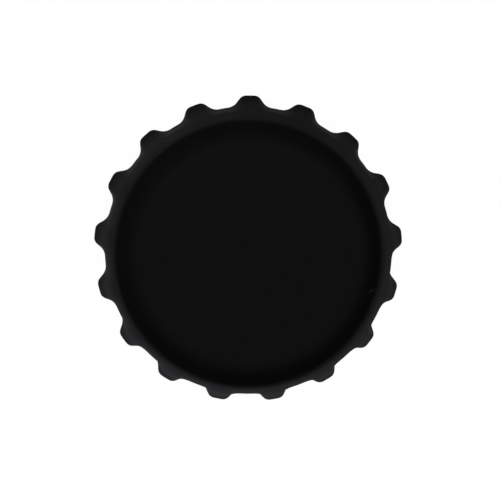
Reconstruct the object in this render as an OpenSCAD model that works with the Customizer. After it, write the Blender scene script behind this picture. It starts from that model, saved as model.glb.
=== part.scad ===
// Crown cork: a bottle cap pressed from thin coated sheet, with a sealing liner bonded inside.
// It lies on its toothed edge. Origin: the centre of the edge plane. +Z runs up through the panel.
// Millimetres and degrees.

/* [Crown] */
// Diameter over the crests of the teeth, at the edge
tip_d = 32.1; // [31.7:0.1:32.9]
// Diameter over the hollows between the teeth, at the edge
root_d = 29.8; // [29.1:0.1:30.1]
// Height from the edge to the top of the panel
cap_h = 6; // [5.5:0.1:7.5]
// Thickness of the sheet
sheet_t = 0.24; // [0.18:0.01:0.35]
// Outside radius of the rounded shoulder
shoulder_r = 3.2; // [1.6:0.1:3.6]
// Lean of the skirt from upright, below the shoulder
skirt_lean = 1.1; // [0:0.1:5]

/* [Teeth] */
// Number of teeth
tooth_count = 17; // [12:1:19]
// Height above the edge at which the flutes have faded out
flute_h = 4.6; // [3.6:0.1:5.2]
// How the flutes deepen towards the edge: 1 is a straight crest, more is a flared one
flute_flare = 1.25; // [1.2:0.05:2.2]
// Angular width of a flute where it fades out, as a share of its width at the edge
flute_neck = 0.95; // [0.5:0.05:1]
// Width of the flat on a tooth's crest
crest_w = 0.8; // [0.4:0.05:1]
// Radius of the bend on each side of the crest
crest_r = 0.8; // [0.5:0.05:0.9]
// Radius of the bend where a flank runs out into the skirt
foot_r = 1.25; // [0.6:0.05:1.3]
// Slope of a tooth's flanks
flank_angle = 52; // [48:1:60]
// How far the crests are drawn up from the edge plane
crest_lift = 0.2; // [0:0.05:0.4]

/* [Liner] */
// Diameter of the liner
liner_d = 25.4; // [23.4:0.1:26]
// Thickness of the sealing ring, under the panel
ring_t = 0.9; // [0.7:0.05:1.2]
// Width of the sealing ring
ring_w = 4.1; // [3:0.1:6]
// Thickness of the web inside the sealing ring
web_t = 0.4; // [0.3:0.05:0.6]
// Radius on the sealing ring's lower edges
ring_round = 0.25; // [0.1:0.05:0.3]
// Gap between the liner and the shoulder's inside
liner_gap = 0.2; // [0.15:0.05:0.4]

/* [Hidden] */
$fn = 96;

// Steps along the curved stretches of the sheet
shoulder_steps = 6;
skirt_steps = 4;
crest_steps = 2;
foot_steps = 2;
// Flat margin of the fluted sheet that laps into the panel disc
panel_lap = 0.4;

root_r = root_d / 2;
tooth_h = (tip_d - root_d) / 2;
pitch = 360 / tooth_count;

// Centre of the shoulder's arc: it is tangent to the panel and to the leaning skirt
shoulder_z = cap_h - shoulder_r;
panel_r = root_r - shoulder_z * tan(skirt_lean) - shoulder_r / cos(skirt_lean);
skirt_top_z = shoulder_z + shoulder_r * sin(skirt_lean);
inner_shoulder_r = shoulder_r - sheet_t;
ceiling_z = cap_h - sheet_t;

// One tooth's section at the edge, from its crest outwards: a flat, a bend, a flank and a bend.
// The foot's bend is limited by the height of the flank.
bend_rise = 1 - cos(flank_angle);
foot_fit_r = min(foot_r, tooth_h / bend_rise - crest_r);
flank_rise = tooth_h - (crest_r + foot_fit_r) * bend_rise;
foot_end = crest_w / 2 + (crest_r + foot_fit_r) * sin(flank_angle) + flank_rise / tan(flank_angle);

// Points of half a tooth, each as [distance from the crest's middle, height, slope]
half_tooth = concat(
    [for (i = [0:crest_steps]) let (a = flank_angle * i / crest_steps)
        [crest_w / 2 + crest_r * sin(a), tooth_h - crest_r * (1 - cos(a)), a]],
    [for (i = [foot_steps:-1:0]) let (a = flank_angle * i / foot_steps)
        [foot_end - foot_fit_r * sin(a), foot_fit_r * (1 - cos(a)), a]]
);

function mirrored(points) = [for (i = [len(points) - 1:-1:0]) [-points[i].x, points[i].y, -points[i].z]];
tooth = concat(mirrored(half_tooth), half_tooth);

// Meridian of the sheet's outside, from the panel down to the edge, as [radius, height, lean of its normal]
meridian = concat(
    [[panel_r - panel_lap, cap_h, 90]],
    [for (i = [0:shoulder_steps]) let (a = 90 - (90 - skirt_lean) * i / shoulder_steps)
        [panel_r + shoulder_r * cos(a), shoulder_z + shoulder_r * sin(a), a]],
    [for (i = [1:skirt_steps]) let (z = skirt_top_z * (1 - i / skirt_steps))
        [root_r - z * tan(skirt_lean), z, skirt_lean]]
);

// How far down its flute a height lies: 0 where the flute fades out, 1 at the edge
function run_out(z) = max(0, 1 - z / flute_h);
function depth_share(z) = pow(run_out(z), flute_flare);
function flare_slope(z) = flute_flare * pow(run_out(z), flute_flare - 1) / flute_h;
function width_share(z) = flute_neck + (1 - flute_neck) * run_out(z);

// A point of the sheet, set in by a distance along the sheet's own normal, on the tooth at an angle.
// At the edge the normal is level, so the cut edge is level too.
function sheet_point(m, t, tooth_angle, inset) = let (
        depth = depth_share(m.y),
        width = width_share(m.y),
        r = m.x + t.y * depth,
        slope = tan(t.z) * depth / width * root_r / r,
        rise = m.y == 0 ? 0 : sin(m.z) + cos(m.z) * t.y * flare_slope(m.y),
        n = [cos(m.z), cos(m.z) * slope, rise] / norm([cos(m.z), cos(m.z) * slope, rise]),
        out = r - inset * n.x,
        across = -inset * n.y,
        a = tooth_angle + t.x / root_r * 180 / PI * width
    )
    [out * cos(a) - across * sin(a), out * sin(a) + across * cos(a),
        m.y + crest_lift * t.y / tooth_h * depth - inset * n.z];

// The hollow's middle, half a pitch on from a crest, lies on the plain meridian
function hollow_point(m, tooth_angle, inset) = let (
        a = tooth_angle + pitch / 2,
        lean = m.y == 0 ? 0 : m.z,
        r = m.x - inset * cos(lean)
    )
    [r * cos(a), r * sin(a), m.y - inset * sin(lean)];

function sheet_ring(m, inset) = [
    for (k = [0:tooth_count - 1])
        for (i = [0:len(tooth)])
            i < len(tooth) ? sheet_point(m, tooth[i], k * pitch, inset) : hollow_point(m, k * pitch, inset)
];

// Joins equal rings of points into a closed band: down the outside and back up the inside
module band(rings) {
    n = len(rings[0]);
    polyhedron(
        points = [for (ring = rings) each ring],
        faces = [for (j = [0:len(rings) - 1], i = [0:n - 1]) let (
                a = j * n + i,
                b = j * n + (i + 1) % n,
                c = (j + 1) % len(rings) * n + (i + 1) % n,
                d = (j + 1) % len(rings) * n + i
            )
            each [[a, b, c], [a, c, d]]]
    );
}

module crown_shell() {
    color([0.06, 0.06, 0.065]) {
        // Shoulder and fluted skirt, of one thickness all over
        band(concat(
            [for (m = meridian) sheet_ring(m, 0)],
            [for (i = [len(meridian) - 1:-1:0]) sheet_ring(meridian[i], sheet_t)]
        ));
        // Flat panel
        translate([0, 0, ceiling_z])
            cylinder(r = panel_r - panel_lap / 2, h = sheet_t);
    }
}

// Half section of the liner: flat against the panel, and stepped down where the sheet bends away.
// From there on it keeps its gap from the shoulder's inside.
module liner_section() {
    liner_r = liner_d / 2;
    ring_z = ceiling_z - ring_t;
    intersection() {
        union() {
            square([panel_r - liner_gap, ceiling_z]);
            translate([panel_r, shoulder_z])
                circle(r = inner_shoulder_r - liner_gap);
        }
        union() {
            translate([0, ceiling_z - web_t])
                square([liner_r, web_t]);
            translate([liner_r - ring_w, ring_z + ring_round])
                square([ring_w, ring_t - ring_round]);
            translate([liner_r - ring_w + ring_round, ring_z])
                square([ring_w - 2 * ring_round, ring_t]);
            for (x = [liner_r - ring_w + ring_round, liner_r - ring_round])
                translate([x, ring_z + ring_round])
                    circle(r = ring_round);
        }
    }
}

module sealing_liner() {
    color([0.78, 0.79, 0.78])
        rotate_extrude()
            liner_section();
}

crown_shell();
sealing_liner();
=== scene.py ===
from math import acos, asin, cos, pi, radians, sin, tan

import bpy
from mathutils import Matrix, Vector


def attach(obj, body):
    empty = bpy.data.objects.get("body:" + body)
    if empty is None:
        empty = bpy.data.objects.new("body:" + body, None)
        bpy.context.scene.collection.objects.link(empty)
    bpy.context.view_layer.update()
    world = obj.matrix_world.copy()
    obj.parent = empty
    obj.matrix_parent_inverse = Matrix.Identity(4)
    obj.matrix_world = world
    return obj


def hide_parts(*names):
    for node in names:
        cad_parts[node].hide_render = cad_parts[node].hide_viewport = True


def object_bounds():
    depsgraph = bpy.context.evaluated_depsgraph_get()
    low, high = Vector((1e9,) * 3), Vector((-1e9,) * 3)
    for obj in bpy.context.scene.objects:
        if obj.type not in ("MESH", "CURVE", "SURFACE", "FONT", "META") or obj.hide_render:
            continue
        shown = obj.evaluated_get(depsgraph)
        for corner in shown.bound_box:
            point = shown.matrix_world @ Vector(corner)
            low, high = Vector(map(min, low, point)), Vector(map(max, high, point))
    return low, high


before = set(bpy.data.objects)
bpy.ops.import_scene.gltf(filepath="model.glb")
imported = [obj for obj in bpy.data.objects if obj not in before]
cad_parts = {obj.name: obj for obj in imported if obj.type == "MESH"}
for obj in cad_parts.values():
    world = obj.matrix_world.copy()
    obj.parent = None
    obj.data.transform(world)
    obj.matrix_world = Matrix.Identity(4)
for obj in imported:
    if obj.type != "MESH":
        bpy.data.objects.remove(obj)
cadLow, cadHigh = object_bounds()
mm = 0.001
white = (1, 1, 1, 1)
print("frame loaded, %.1f mm across" % ((cadHigh.x - cadLow.x) / mm))


class Sock:
    # an output socket or a plain number, with the operators that the node trees use

    def __init__(self, tree, value):
        self.tree = tree
        self.value = value

    def math(self, operation, *others):
        return add(self.tree, "ShaderNodeMath", {"operation": operation}, (self, *others))

    def __add__(self, other):
        return self.math("ADD", other)

    def __sub__(self, other):
        return self.math("SUBTRACT", other)

    def __mul__(self, other):
        return self.math("MULTIPLY", other)

    def __truediv__(self, other):
        return self.math("DIVIDE", other)

    def __pow__(self, other):
        return self.math("POWER", other)

    def __radd__(self, other):
        return self + other

    def __rmul__(self, other):
        return self * other

    def __rsub__(self, other):
        return Sock(self.tree, other) - self

    def __rtruediv__(self, other):
        return Sock(self.tree, other) / self

    def clamped(self, low, high):
        return self.math("MAXIMUM", low).math("MINIMUM", high)


def feed(tree, socket, item):
    value = item.value if isinstance(item, Sock) else item
    if isinstance(value, bpy.types.NodeSocket):
        tree.links.new(value, socket)
    else:
        socket.default_value = value


def add(tree, kind, settings=None, sockets=(), out=0):
    # any node: its settings first, then its sockets, in order or by name
    # out is the output that is wanted, or a tuple of several
    node = tree.nodes.new(kind)
    for name, value in (settings or {}).items():
        if name == "stops":
            setStops(node.color_ramp.elements, value)
        elif name == "captured":
            node.capture_items.new("FLOAT", value)
        else:
            setattr(node, name, value)
    pairs = sockets.items() if isinstance(sockets, dict) else enumerate(sockets)
    for key, item in pairs:
        feed(tree, node.inputs[key], item)
    if isinstance(out, tuple):
        return [Sock(tree, node.outputs[key]) for key in out]
    return Sock(tree, node.outputs[out]) if len(node.outputs) else None


def setStops(ramp, stops):
    while len(ramp) < len(stops):
        ramp.new(1)
    for stop, (place, tone) in zip(ramp, stops):
        stop.position = place
        stop.color = (tone, tone, tone, 1)


def parts(tree, vector, wanted):
    return add(tree, "ShaderNodeSeparateXYZ", sockets=(vector,), out=wanted)


def lengthOf(tree, vector):
    return add(tree, "ShaderNodeVectorMath", {"operation": "LENGTH"}, (vector,), out="Value")


def mixColour(tree, share, first, second):
    # 6 and 7 are the Mix node's two colours, and its output 2 is the mixed one
    settings = {"data_type": "RGBA", "clamp_factor": True}
    return add(tree, "ShaderNodeMix", settings, {0: share, 6: first, 7: second}, out=2)


def newMaterial(name):
    material = bpy.data.materials.new(name)
    material.use_nodes = True
    material.node_tree.nodes.clear()
    return material, material.node_tree


def objectPlace(tree):
    return add(tree, "ShaderNodeTexCoord", out="Object")


def noise(tree, place, grain, detail=2):
    # grain is the size of one blotch, in metres
    sockets = {"Vector": place, "Scale": 1 / grain, "Detail": detail}
    return add(tree, "ShaderNodeTexNoise", sockets=sockets)


def bump(tree, height, depth):
    return add(tree, "ShaderNodeBump", sockets={"Strength": 1, "Distance": depth, "Height": height})


def finishSurface(tree, sockets):
    shader = add(tree, "ShaderNodeBsdfPrincipled", sockets=sockets)
    add(tree, "ShaderNodeOutputMaterial", sockets={"Surface": shader})


# the satin black coat on the outside of the crown
enamel = {
    "tone": (0.0010, 0.0010, 0.0011),
    "thinTone": (0.0014, 0.0014, 0.0016),
    "gloss": 0.25,                # specular level
    "roughness": 0.22,
    "roughnessSpread": 0.05,
    "peel": 0.35 * mm,            # grain of the orange peel
    "peelDepth": 0.004 * mm,
    "cloud": 4 * mm,
    "rubPlace": (12.27 * mm, -4.74 * mm, 5.6 * mm),    # one faint rub mark, on the shoulder
    "rubTurn": radians(29),
    "rubSize": (0.48 * mm, 0.2 * mm, 0.4 * mm),
    "rubEdge": 1.6,               # where the mark ends, in its own sizes
    "rubBreak": 0.8,              # how much the orange peel breaks it up
    "rubTone": (0.006, 0.006, 0.0062),
    "rubRoughness": 0.15,
}


def blackEnamel():
    material, tree = newMaterial("black_enamel")
    place = objectPlace(tree)
    cloud = noise(tree, place, enamel["cloud"])
    peel = noise(tree, place, enamel["peel"], detail=3)
    tone = mixColour(tree, cloud, (*enamel["tone"], 1), (*enamel["thinTone"], 1))
    fromRub = add(tree, "ShaderNodeMapping", {"vector_type": "TEXTURE"}, {
        "Vector": place,
        "Location": enamel["rubPlace"],
        "Rotation": (0, 0, enamel["rubTurn"]),
        "Scale": enamel["rubSize"],
    })
    rubbed = (enamel["rubEdge"] - lengthOf(tree, fromRub) - peel * enamel["rubBreak"]).clamped(0, 1)
    tone = mixColour(tree, rubbed, tone, (*enamel["rubTone"], 1))
    spread = enamel["roughnessSpread"]
    roughness = enamel["roughness"] - spread + (cloud + peel) * spread
    finishSurface(tree, {
        "Base Color": tone,
        "Roughness": roughness + rubbed * enamel["rubRoughness"],
        "Specular IOR Level": enamel["gloss"],
        "Normal": bump(tree, peel, enamel["peelDepth"]),
    })
    return material


# the clear lacquer over bare tinplate, on the inside of the crown
tinplate = {
    "tones": ((0.52, 0.50, 0.45, 1), (0.60, 0.58, 0.53, 1)),
    "cloud": 3 * mm,
    "grain": 0.12 * mm,
    "grainDepth": 0.0008 * mm,
    "roughness": 0.22,
    "roughnessSpread": 0.16,
}


def lacqueredTinplate():
    material, tree = newMaterial("lacquered_tinplate")
    place = objectPlace(tree)
    cloud = noise(tree, place, tinplate["cloud"])
    fine = noise(tree, place, tinplate["grain"])
    finishSurface(tree, {
        "Base Color": mixColour(tree, cloud, *tinplate["tones"]),
        "Metallic": 1,
        "Roughness": tinplate["roughness"] + fine * tinplate["roughnessSpread"],
        "Normal": bump(tree, fine, tinplate["grainDepth"]),
    })
    return material


# the bare steel of the cut edge
steel = {
    "tones": ((0.34, 0.34, 0.35, 1), (0.50, 0.50, 0.50, 1)),
    "grain": 0.05 * mm,
    "roughness": 0.3,
    "roughnessSpread": 0.2,
}


def cutSteel():
    material, tree = newMaterial("cut_steel")
    grain = noise(tree, objectPlace(tree), steel["grain"])
    finishSurface(tree, {
        "Base Color": mixColour(tree, grain, *steel["tones"]),
        "Metallic": 1,
        "Roughness": steel["roughness"] + grain * steel["roughnessSpread"],
    })
    return material


# the pale grey sealing compound
compound = {
    "tones": ((0.66, 0.67, 0.66, 1), (0.75, 0.76, 0.75, 1)),
    "cloud": 2.5 * mm,
    "grain": 0.15 * mm,
    "grainDepth": 0.002 * mm,
    "gloss": 0.45,                # specular level
    "roughness": 0.36,
    "roughnessSpread": 0.12,
}


def linerCompound():
    material, tree = newMaterial("liner_compound")
    place = objectPlace(tree)
    cloud = noise(tree, place, compound["cloud"], detail=4)
    fine = noise(tree, place, compound["grain"])
    finishSurface(tree, {
        "Base Color": mixColour(tree, cloud, *compound["tones"]),
        "Roughness": compound["roughness"] + cloud * compound["roughnessSpread"],
        "Specular IOR Level": compound["gloss"],
        "Normal": bump(tree, fine, compound["grainDepth"]),
    })
    return material


# the crown is one sheet, drawn into a panel, a shoulder and a fluted skirt
crown = {
    "tipRadius": 16.05 * mm,      # over the crests of the teeth
    "rootRadius": 14.9 * mm,      # over the hollows
    "height": cadHigh.z,
    "sheet": 0.24 * mm,
    "shoulder": 3.2 * mm,
    "onset": 1.6 * mm,            # stretch over which the flat panel eases into the shoulder's bend
    "lean": radians(1.1),
    "teeth": 17,
    "fluteHeight": 4.6 * mm,
    "fluteFlare": 1.25,
    "fluteNeck": 0.95,
    "crestWidth": 0.8 * mm,
    "crestBend": 0.8 * mm,
    "footBend": 1.25 * mm,
    "flankAngle": radians(52),
    "crestLift": 0.2 * mm,
    "levelShare": 0.25,           # share of the skirt over which the inside turns to a level cut
    "burr": 0.03 * mm,            # tiny bevel on both sides of the cut edge
    "columnsPerTooth": 36,
    "panelRows": 2,
    "onsetRows": 5,               # on the panel's side of the onset
    "shoulderRows": 22,
    "skirtRows": 26,
    "merge": 0.001 * mm,          # closes the seam and the middle of the panel
}

# inputs of the tree, and the value that each is set to
crownInputs = {
    "Tip radius": "tipRadius",
    "Root radius": "rootRadius",
    "Height": "height",
    "Sheet": "sheet",
    "Shoulder": "shoulder",
    "Onset": "onset",
    "Lean": "lean",
    "Teeth": "teeth",
    "Flute height": "fluteHeight",
    "Flute flare": "fluteFlare",
    "Flute neck": "fluteNeck",
    "Crest width": "crestWidth",
    "Crest bend": "crestBend",
    "Foot bend": "footBend",
    "Flank angle": "flankAngle",
    "Crest lift": "crestLift",
    "Level share": "levelShare",
    "Burr": "burr",
}


def toothSection(s, across, height):
    # height and slope of a tooth at a distance from the middle of its crest:
    # a flat, a bend, a flank, and a bend back into the skirt
    crestBend, footBend = s["crestBend"], s["footBend"]
    flankSin, flankCos = s["flankAngle"].math("SINE"), s["flankAngle"].math("COSINE")
    bendRise = 1 - flankCos
    crestReach, footReach = crestBend * flankSin, footBend * flankSin
    flankStart = s["crestWidth"] / 2 + crestReach
    flankWidth = (height - (crestBend + footBend) * bendRise) * flankCos / flankSin
    distance = across.math("ABSOLUTE")
    overCrest = (distance - s["crestWidth"] / 2).clamped(0, crestReach)
    downFlank = (distance - flankStart).clamped(0, flankWidth)
    toFoot = (flankStart + flankWidth + footReach - distance).clamped(0, footReach)
    crestChord = (crestBend * crestBend - overCrest * overCrest).math("SQRT")
    footChord = (footBend * footBend - toFoot * toFoot).math("SQRT")
    drop = crestBend - crestChord + downFlank * flankSin / flankCos
    rise = height - drop - footBend * bendRise + footBend - footChord
    slope = (overCrest / crestChord).math("MINIMUM", toFoot / footChord)
    return rise, slope * across.math("SIGN")


def crownTree(coats):
    tree = bpy.data.node_groups.new("pressed crown", "GeometryNodeTree")
    tree.is_modifier = True
    tree.interface.new_socket("Geometry", in_out="OUTPUT", socket_type="NodeSocketGeometry")
    for name, key in crownInputs.items():
        kind = "NodeSocketInt" if isinstance(crown[key], int) else "NodeSocketFloat"
        tree.interface.new_socket(name, in_out="INPUT", socket_type=kind)
    s = dict(zip(crownInputs.values(), add(tree, "NodeGroupInput", out=tuple(crownInputs))))

    # a flat grid: its columns go round the cap, its rows run out over the top and back inside
    panelRows, onsetRows = crown["panelRows"], crown["onsetRows"]
    shoulderRows, skirtRows = crown["shoulderRows"], crown["skirtRows"]
    flatRows = panelRows + onsetRows
    outerRows = flatRows + shoulderRows + skirtRows + 2
    columns = crown["columnsPerTooth"] * s["teeth"]
    grid = add(tree, "GeometryNodeMeshGrid", sockets=(1, 1, columns + 1, 2 * outerRows))
    gridX, gridY = parts(tree, add(tree, "GeometryNodeInputPosition"), ("X", "Y"))
    angle = (0.5 - gridX) * (2 * pi)
    gridRow = ((gridY + 0.5) * (2 * outerRows - 1)).math("ROUND")
    isInside = gridRow.math("GREATER_THAN", outerRows - 0.5)
    row = gridRow.math("MINIMUM", 2 * outerRows - 1 - gridRow)
    edgeRow = (row - (outerRows - 2)).clamped(0, 1)
    inset = isInside * s["sheet"] + (1 - 2 * isInside) * edgeRow * s["burr"]

    # where the row lies: along the panel, round the shoulder, then down the skirt
    leanSin, leanCos = s["lean"].math("SINE"), s["lean"].math("COSINE")
    shoulderZ = s["height"] - s["shoulder"]
    skirtTop = shoulderZ + s["shoulder"] * leanSin
    panelRadius = s["rootRadius"] - shoulderZ * leanSin / leanCos - s["shoulder"] / leanCos
    halfOnset = s["onset"] / 2
    onPanel = row.clamped(0, panelRows) / panelRows * (panelRadius - halfOnset)
    onPanel = onPanel + (row - panelRows).clamped(0, onsetRows) / onsetRows * halfOnset
    turn = (row - flatRows).clamped(0, shoulderRows) / shoulderRows * (pi / 2 - s["lean"])
    turnSin, turnCos = turn.math("SINE"), turn.math("COSINE")
    downRow = (row - flatRows - shoulderRows).clamped(0, skirtRows) / skirtRows
    onSkirt = downRow * (skirtTop / leanCos - s["burr"]) + edgeRow * s["burr"]
    plainRadius = onPanel + s["shoulder"] * turnSin + onSkirt * leanSin
    plainHeight = shoulderZ + s["shoulder"] * turnCos - onSkirt * leanCos

    # the bend sets in little by little, which lowers the shoulder by a hair
    pastPanel = onPanel + s["shoulder"] * turnSin - panelRadius
    eased = (pastPanel + halfOnset).clamped(0, s["onset"]) ** 3 / (6 * s["onset"])
    sudden = pastPanel.clamped(0, halfOnset) ** 2 / 2
    plainHeight = plainHeight - (eased - sudden) / s["shoulder"] * (turnCos - leanSin)

    # the flutes deepen and widen from where they fade out down to the edge
    runOut = (1 - plainHeight / s["fluteHeight"]).clamped(0, 1)
    depth = runOut ** s["fluteFlare"]
    width = s["fluteNeck"] + (1 - s["fluteNeck"]) * runOut
    pitch = 2 * pi / s["teeth"]
    offCrest = ((angle / pitch + 0.5).math("FRACT") - 0.5) * pitch
    toothHeight = s["tipRadius"] - s["rootRadius"]
    rise, slope = toothSection(s, offCrest * s["rootRadius"] / width, toothHeight)
    radius = plainRadius + rise * depth
    lift = s["crestLift"] * rise / toothHeight * depth

    # the inside is set in square to the sheet, and turns level at the cut edge
    level = (plainHeight / (skirtTop * s["levelShare"])).clamped(0, 1)
    flare = s["fluteFlare"] * runOut ** (s["fluteFlare"] - 1) / s["fluteHeight"]
    sideways = turnSin * slope * depth / width * s["rootRadius"] / radius
    upward = (turnCos + turnSin * rise * flare) * level
    length = (turnSin * turnSin + sideways * sideways + upward * upward).math("SQRT")
    out = radius - inset * turnSin / length
    back = inset * sideways / length
    angleSin, angleCos = angle.math("SINE"), angle.math("COSINE")
    place = add(tree, "ShaderNodeCombineXYZ", sockets=(
        out * angleCos + back * angleSin,
        out * angleSin - back * angleCos,
        plainHeight + lift - inset * upward / length,
    ))

    # the faces keep their row, which tells the coats apart
    settings = {"domain": "FACE", "captured": "row"}
    shape, faceRow = add(tree, "GeometryNodeCaptureAttribute", settings, (grid, gridRow), out=(0, 1))
    shape = add(tree, "GeometryNodeSetPosition", sockets={"Geometry": shape, "Position": place})
    merging = {"Geometry": shape, "Distance": crown["merge"]}
    shape = add(tree, "GeometryNodeMergeByDistance", sockets=merging)
    shape = add(tree, "GeometryNodeSetShadeSmooth", sockets={"Geometry": shape})
    shape = add(tree, "GeometryNodeRealizeInstances", sockets={"Geometry": shape})
    firstRows = (-1, outerRows - 1, outerRows + 1)    # outside, cut edge, inside
    for coat, firstRow in zip(coats, firstRows):
        shape = add(tree, "GeometryNodeSetMaterial", sockets={
            "Geometry": shape,
            "Selection": faceRow.math("GREATER_THAN", firstRow),
            "Material": coat,
        })
    add(tree, "NodeGroupOutput", sockets=(shape,))
    return tree


def meshFromTree(name, tree, values):
    # runs the tree on an empty mesh and keeps what it makes as a plain mesh
    piece = bpy.data.objects.new(name, bpy.data.meshes.new(name))
    bpy.context.scene.collection.objects.link(piece)
    modifier = piece.modifiers.new("shape", "NODES")
    modifier.node_group = tree
    for socket in tree.interface.items_tree:
        if socket.in_out == "INPUT":
            modifier[socket.identifier] = values[socket.name]
    graph = bpy.context.evaluated_depsgraph_get()
    mesh = bpy.data.meshes.new_from_object(piece.evaluated_get(graph))
    piece.modifiers.remove(modifier)
    piece.data = mesh
    return piece


def makeCrown():
    tree = crownTree((blackEnamel(), cutSteel(), lacqueredTinplate()))
    piece = meshFromTree("crown", tree, {name: crown[key] for name, key in crownInputs.items()})
    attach(piece, "root")
    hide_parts("crown_shell")
    print("crown made, %d faces" % len(piece.data.polygons))


# the liner is moulded under the panel
liner = {
    "radius": 12.7 * mm,
    "ringWidth": 4.1 * mm,
    "ringThickness": 0.9 * mm,
    "webThickness": 0.4 * mm,
    "lowerRound": 0.25 * mm,
    "innerFillet": 0.15 * mm,
    "gap": 0.2 * mm,              # to the inside of the shoulder
    "grooves": (0.34, 0.66),      # shallow grooves under the ring, as shares of its width
    "grooveWidth": 0.7 * mm,
    "grooveDepth": 0.11 * mm,
    "grooveSteps": 10,
    "segments": 192,
    "arcSteps": 6,
    "sharpAngle": radians(40),    # edges steeper than this stay crisp
}


def arc(centreR, centreZ, radius, start, end, steps):
    # points of an arc in the half section, between two angles
    turns = [start + (end - start) * i / steps for i in range(steps + 1)]
    return [(centreR + radius * cos(a), centreZ + radius * sin(a)) for a in turns]


def groove(centreR, bottomZ):
    # a smooth shallow dip in the half section
    width, depth, steps = liner["grooveWidth"], liner["grooveDepth"], liner["grooveSteps"]
    points = []
    for i in range(steps + 1):
        share = i / steps
        rise = depth / 2 * (1 - cos(2 * pi * share))
        points.append((centreR + (share - 0.5) * width, bottomZ + rise))
    return points


def linerSection():
    # from the middle of the underside, round the sealing ring, to the middle of the top
    topZ = crown["height"] - crown["sheet"]
    webZ = topZ - liner["webThickness"]
    ringZ = topZ - liner["ringThickness"]
    outer = liner["radius"]
    inner = outer - liner["ringWidth"]
    soft, fillet, steps = liner["lowerRound"], liner["innerFillet"], liner["arcSteps"]
    bendZ = crown["height"] - crown["shoulder"]
    bendRadius = crown["shoulder"] - crown["sheet"] - liner["gap"]
    skirtLean = crown["lean"]
    panelRadius = crown["rootRadius"] - bendZ * tan(skirtLean) - crown["shoulder"] / cos(skirtLean)
    sideTurn = acos((outer - panelRadius) / bendRadius)
    stepTurn = pi / 2 + asin(liner["gap"] / bendRadius)
    easeWidth = crown["onset"] / 2 - liner["gap"]    # the top keeps clear of the eased bend
    easeDrop = easeWidth ** 3 / (6 * crown["onset"] * crown["shoulder"])
    grooves = []
    for share in liner["grooves"]:
        grooves += groove(inner + share * liner["ringWidth"], ringZ)
    return [
        (0, webZ),
        *arc(inner - fillet, webZ - fillet, fillet, pi / 2, 0, steps),
        *arc(inner + soft, ringZ + soft, soft, pi, 1.5 * pi, steps),
        *grooves,
        *arc(outer - soft, ringZ + soft, soft, 1.5 * pi, 2 * pi, steps),
        *arc(panelRadius, bendZ, bendRadius, sideTurn, stepTurn, 2 * steps),
        (panelRadius - liner["gap"], topZ - easeDrop),
        (panelRadius - liner["gap"] - easeWidth, topZ),
        (0, topZ),
    ]


def turned(name, section):
    # a closed solid of revolution, whose section starts and ends on the axis
    segments = liner["segments"]
    first, *rings, last = section
    turns = [2 * pi * i / segments for i in range(segments)]
    points = [(r * cos(a), r * sin(a), z) for r, z in rings for a in turns]
    points += [(0, 0, first[1]), (0, 0, last[1])]
    lowPole, highPole = len(points) - 2, len(points) - 1
    topRing = (len(rings) - 1) * segments
    faces = []
    for i in range(segments):
        j = (i + 1) % segments
        faces.append((lowPole, j, i))
        for k in range(0, topRing, segments):
            faces.append((k + i, k + j, k + segments + j, k + segments + i))
        faces.append((highPole, topRing + i, topRing + j))
    mesh = bpy.data.meshes.new(name)
    mesh.from_pydata(points, [], faces)
    mesh.shade_smooth()
    mesh.set_sharp_from_angle(angle=liner["sharpAngle"])
    piece = bpy.data.objects.new(name, mesh)
    bpy.context.scene.collection.objects.link(piece)
    return piece


def makeLiner():
    piece = turned("liner", linerSection())
    piece.data.materials.append(linerCompound())
    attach(piece, "root")
    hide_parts("sealing_liner")
    print("liner made, %d faces" % len(piece.data.polygons))


def facing(tree, direction, angle):
    # 1 where a direction points to the side at this angle, and -1 on the other side
    level = add(tree, "ShaderNodeVectorMath", {"operation": "MULTIPLY"}, (direction, (1, 1, 0)))
    level = add(tree, "ShaderNodeVectorMath", {"operation": "NORMALIZE"}, (level,))
    side = (cos(angle), sin(angle), 0)
    return add(tree, "ShaderNodeVectorMath", {"operation": "DOT_PRODUCT"}, (level, side), out="Value")


# a white table, which the camera sees as plain white; the enamel mirrors its glow darker, with a
# painted shadow under the teeth and painted light and shade round the sides
stage = {
    "tableRadius": 1.5,
    "tableSides": 64,
    "tableTone": 0.85,
    "tableDrop": 0.01 * mm,       # keeps the table clear of the cut edges that stand on it
    "plainShare": 0.95,           # how much of it is seen as plain white: the rest shows the shadow
    "whiteLevel": 1.008,
    "mirrorTone": (0.89, 0.89, 1.0, 1),
    "mirrorLevel": 0.384,         # the same table as the enamel mirrors it
    "shadeReach": 4 * mm,         # painted shadow in the mirrored glow: dark right under the teeth, clearing over a short way
    "shadeFloor": 0.12,
    "litSide": radians(200),      # the painted shadow is shorter on this side
    "litShare": 0.35,
    "dimSide": radians(-86),      # towards this side of the room the mirrored table is painted darker further out
    "dimStart": 24 * mm,
    "dimReach": 30 * mm,
    "dimShare": 0.7,
    # painted light and shade: how light the mirrored table is on each side of the cap, every 30
    # degrees, starting at -X and going by -Y
    "sideTones": (0.745, 0.74, 0.835, 0.825, 0.775, 0.8, 0.775, 0.77, 0.64, 0.805, 0.97, 0.8),
}


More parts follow.
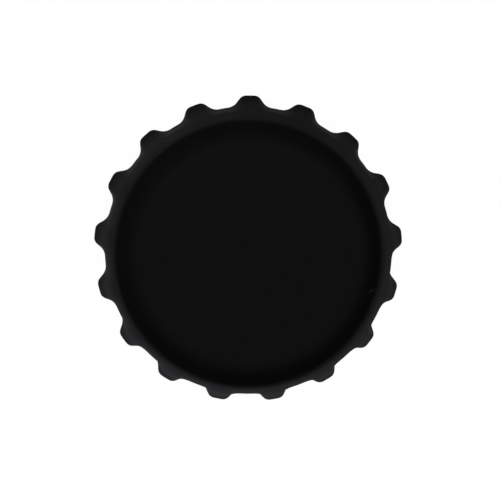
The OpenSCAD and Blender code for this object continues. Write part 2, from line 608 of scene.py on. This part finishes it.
def tableLight(tree, place):
    # how light the mirrored table is: a painted contact shadow under the teeth that clears outwards,
    # with painted light and shade round the sides
    away = lengthOf(tree, place)
    gap = (away - crown["tipRadius"]).math("MAXIMUM", 0) ** 2
    onLit = facing(tree, place, stage["litSide"])
    onDim = facing(tree, place, stage["dimSide"]).clamped(0, 1)
    reach = stage["shadeReach"] * (1 - onLit * stage["litShare"])
    least = stage["shadeFloor"] * (1 + onLit * stage["litShare"])
    lit = least + (1 - least) * gap / (gap + reach ** 2)
    dimmed = ((away - stage["dimStart"]) / stage["dimReach"]).clamped(0, 1) * onDim
    lit = lit * (1 - dimmed * stage["dimShare"])
    placeX, placeY = parts(tree, place, ("X", "Y"))
    around = placeY.math("ARCTAN2", placeX) / (2 * pi) + 0.5
    tones = stage["sideTones"]
    stops = [(i / len(tones), tones[i % len(tones)]) for i in range(len(tones) + 1)]
    return lit * add(tree, "ShaderNodeValToRGB", {"stops": stops}, {"Fac": around})


def makeTable():
    sides, radius = stage["tableSides"], stage["tableRadius"]
    bpy.ops.mesh.primitive_circle_add(vertices=sides, radius=radius, fill_type="NGON")
    table = bpy.context.object
    table.location.z = -stage["tableDrop"]
    table.name = "table"
    material, tree = newMaterial("white_table")
    rays = ("Is Camera Ray", "Is Glossy Ray", "Is Transmission Ray")
    isCamera, isGlossy, isThrough = add(tree, "ShaderNodeLightPath", out=rays)
    tone = stage["tableTone"]
    plain = add(tree, "ShaderNodeBsdfDiffuse", sockets={"Color": (tone, tone, tone, 1)})
    lit = tableLight(tree, objectPlace(tree))
    glowTone = mixColour(tree, isCamera, stage["mirrorTone"], white)
    level = isCamera * stage["whiteLevel"] + (1 - isCamera) * lit * stage["mirrorLevel"]
    glow = add(tree, "ShaderNodeEmission", sockets={"Color": glowTone, "Strength": level})
    share = (isCamera + isGlossy + isThrough).clamped(0, 1) * stage["plainShare"]
    mixed = add(tree, "ShaderNodeMixShader", sockets=(share, plain, glow))
    add(tree, "ShaderNodeOutputMaterial", sockets={"Surface": mixed})
    table.data.materials.append(material)


# the room: the stops give its tone from the horizon, 0, to overhead, 1
sky = {
    "brightSide": radians(124),
    "brightStops": (
        (0, 0.1), (0.45, 0.115), (0.7, 0.135), (0.9, 0.152), (0.97, 0.16), (0.99, 0.2), (1, 0.252)),
    "dimStops": (
        (0, 0.03), (0.45, 0.035), (0.7, 0.045), (0.87, 0.08), (0.95, 0.13), (0.985, 0.185), (1, 0.252)),
    "wallTone": 0.3,              # the white walls round the table, up to a low height
    "wallHeight": 0.08,
    "wallFade": 0.16,
    "wallSide": radians(5),       # they stand higher on this side
    "wallRise": 0.16,
}


def makeSky():
    # brightest overhead, dimmer near the horizon on one side, and plain white to the camera
    world = bpy.data.worlds.new("studio")
    bpy.context.scene.world = world
    world.use_nodes = True
    tree = world.node_tree
    tree.nodes.clear()
    direction = add(tree, "ShaderNodeTexCoord", out="Generated")
    height = parts(tree, direction, ("Z",))[0]
    upward = height.clamped(0, 1)
    dim = add(tree, "ShaderNodeValToRGB", {"stops": sky["dimStops"]}, {"Fac": upward})
    bright = add(tree, "ShaderNodeValToRGB", {"stops": sky["brightStops"]}, {"Fac": upward})
    onBright = facing(tree, direction, sky["brightSide"])
    tone = mixColour(tree, onBright * 0.5 + 0.5, dim, bright)
    wallTop = sky["wallHeight"] + facing(tree, direction, sky["wallSide"]) * sky["wallRise"]
    onWall = ((wallTop - height) / sky["wallFade"]).clamped(0, 1)
    wall = [sky["wallTone"] * tint for tint in stage["mirrorTone"][:3]]
    tone = mixColour(tree, onWall, tone, (*wall, 1))
    isCamera = add(tree, "ShaderNodeLightPath", out="Is Camera Ray")
    seen = mixColour(tree, isCamera, tone, white)
    light = add(tree, "ShaderNodeBackground", sockets={"Color": seen, "Strength": 1})
    add(tree, "ShaderNodeOutputWorld", sockets={"Surface": light})


# a soft lamp overhead, which isn't mirrored
lamp = {
    "size": 0.5,
    "height": 0.6,
    "power": 3.6,
}


def makeLamp():
    data = bpy.data.lights.new("softbox", "AREA")
    data.shape = "DISK"
    data.size = lamp["size"]
    data.energy = lamp["power"]
    holder = bpy.data.objects.new("softbox", data)
    holder.location = (0, 0, lamp["height"])
    holder.visible_glossy = False
    bpy.context.scene.collection.objects.link(holder)


# the camera looks down on the cap, a little from one side
camera = {
    "lean": radians(7.65),        # from upright
    "towards": radians(100.5),    # the side of the cap that is nearest, from +X
    "up": radians(85.5),          # the direction that points up in the view
    "distance": 1.2,
    "frameWidth": 52.01 * mm,     # what the view spans at the table
    "aimRight": 0.213 * mm,       # middle of the view from the cap's axis
    "aimUp": -0.167 * mm,
}


def makeCamera():
    lean, towards = camera["lean"], camera["towards"]
    back = Vector((sin(lean) * cos(towards), sin(lean) * sin(towards), cos(lean)))
    up = Vector((cos(camera["up"]), sin(camera["up"]), 0))
    up = (up - up.dot(back) * back).normalized()
    right = up.cross(back)
    aim = right * camera["aimRight"] + up * camera["aimUp"]
    data = bpy.data.cameras.new("camera")
    data.lens = data.sensor_width * camera["distance"] / camera["frameWidth"]
    holder = bpy.data.objects.new("camera", data)
    turn = Matrix((right, up, back)).transposed().to_4x4()
    holder.matrix_world = Matrix.Translation(aim + back * camera["distance"]) @ turn
    bpy.context.scene.collection.objects.link(holder)
    bpy.context.scene.camera = holder


makeCrown()
makeLiner()
makeTable()
makeSky()
makeLamp()
makeCamera()
bpy.context.scene.view_settings.view_transform = "Standard"
print("table, light and camera placed")
